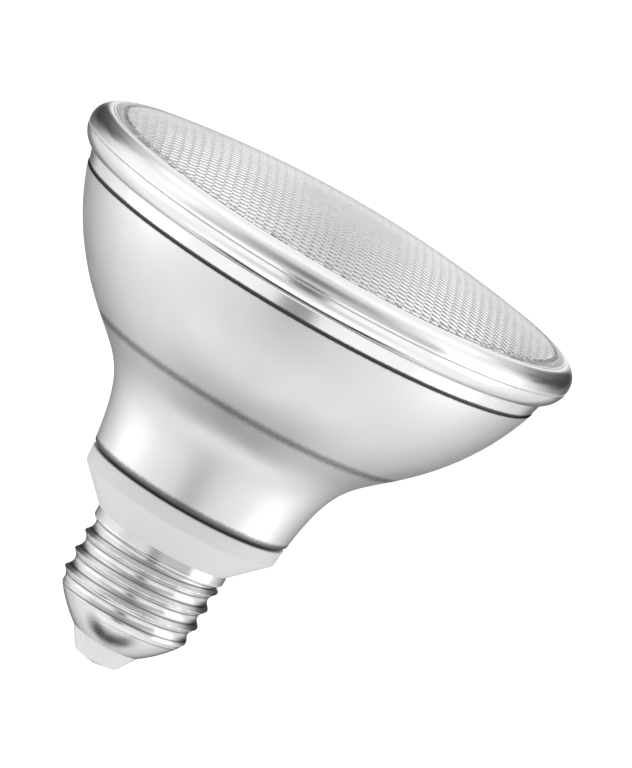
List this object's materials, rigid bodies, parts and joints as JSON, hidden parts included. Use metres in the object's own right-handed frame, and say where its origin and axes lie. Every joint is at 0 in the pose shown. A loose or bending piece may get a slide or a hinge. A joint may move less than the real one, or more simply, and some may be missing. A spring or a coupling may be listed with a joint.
{
  "type": "par spotlight bulb",
  "caption": "Reflector spotlight bulb: clear moulded glass front, satin silvered glass bowl, white collar and a screw cap, held by the cap.",
  "frame": {"origin": "tip of the centre contact, on the lamp's axis", "axes": "+Z along the lamp's axis from the cap to the front glass; +X and +Y across it"},
  "size_m": [0.097, 0.097, 0.0927],
  "materials": {
    "clear_glass": "pressed, clear, glossy",
    "sealant": "thin glossy bead",
    "silvered_glass": "satin silver over glass, with a polished band under the rim",
    "cement": "matt",
    "white_plastic": "fine matt moulding",
    "nickel_plated_brass": "satin nickel plate",
    "white_insulator": "smooth, a little glossy",
    "aluminium": "stamped, satin",
    "thermal_pad": "matt grey silicone",
    "white_board": "white solder mask on an aluminium core",
    "led_package": "yellow phosphor gel in a white frame",
    "steel": "zinc plated",
    "red_insulation": "smooth",
    "black_insulation": "smooth",
    "white_insulation": "smooth",
    "green_board": "green solder mask on glass fibre",
    "ferrite": "dark grey, matt",
    "yellow_tape": "polyester tape",
    "capacitor_sleeve": "shrunk sleeve",
    "resistor_coat": "green-grey coat",
    "black_epoxy": "moulded epoxy"
  },
  "bodies": {
    "root": {"front_lens": "clear_glass", "lens_seal": "sealant", "reflector_bowl": "silvered_glass", "neck_cement": "cement", "base_collar": "white_plastic", "screw_shell": "nickel_plated_brass", "cap_insulator": "white_insulator", "centre_contact": "nickel_plated_brass", "heat_spreader": "aluminium", "thermal_pad": "thermal_pad", "led_board": "white_board", "led_packages": "led_package", "board_screws": "steel", "board_connector": "white_plastic", "led_lead_positive": "red_insulation", "led_lead_negative": "black_insulation", "driver_board": "green_board", "transformer_core": "ferrite", "transformer_winding": "yellow_tape", "input_capacitor": "capacitor_sleeve", "output_capacitor": "capacitor_sleeve", "input_choke": "ferrite", "fusible_resistor": "resistor_coat", "control_chip": "black_epoxy", "bridge_rectifier": "black_epoxy", "output_diode": "black_epoxy", "contact_lead": "white_insulation", "shell_lead": "white_insulation"}
  },
  "joints": []
}
